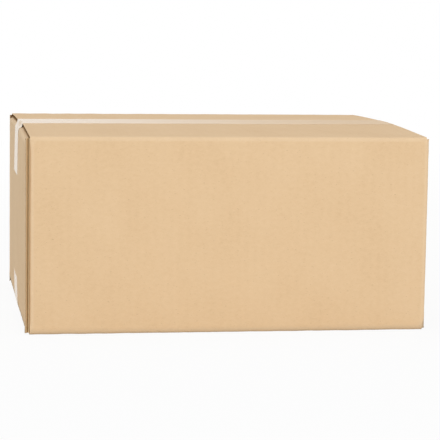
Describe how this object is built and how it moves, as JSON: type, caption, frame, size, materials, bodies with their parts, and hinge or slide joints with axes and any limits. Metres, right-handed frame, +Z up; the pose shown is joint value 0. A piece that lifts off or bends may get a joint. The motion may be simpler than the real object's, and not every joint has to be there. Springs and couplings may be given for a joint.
{
  "type": "closed cardboard box",
  "caption": "Closed corrugated carton with folded flaps, a glued side joint and tape along its top and bottom seams.",
  "frame": {"origin": "centre of the footprint, on the surface that the box stands on", "axes": "+Z up, +X along the length to the right of the front wall, which faces -Y"},
  "size_m": [0.3102, 0.26, 0.1527],
  "materials": {
    "board": "plain brown kraft liner, matt, with faint flute lines and fibres",
    "tape": "clear glossy packing tape, seen with the board through it"
  },
  "bodies": {
    "root": {"carton": "board", "top_tape": "tape", "bottom_tape": "tape"}
  },
  "joints": []
}
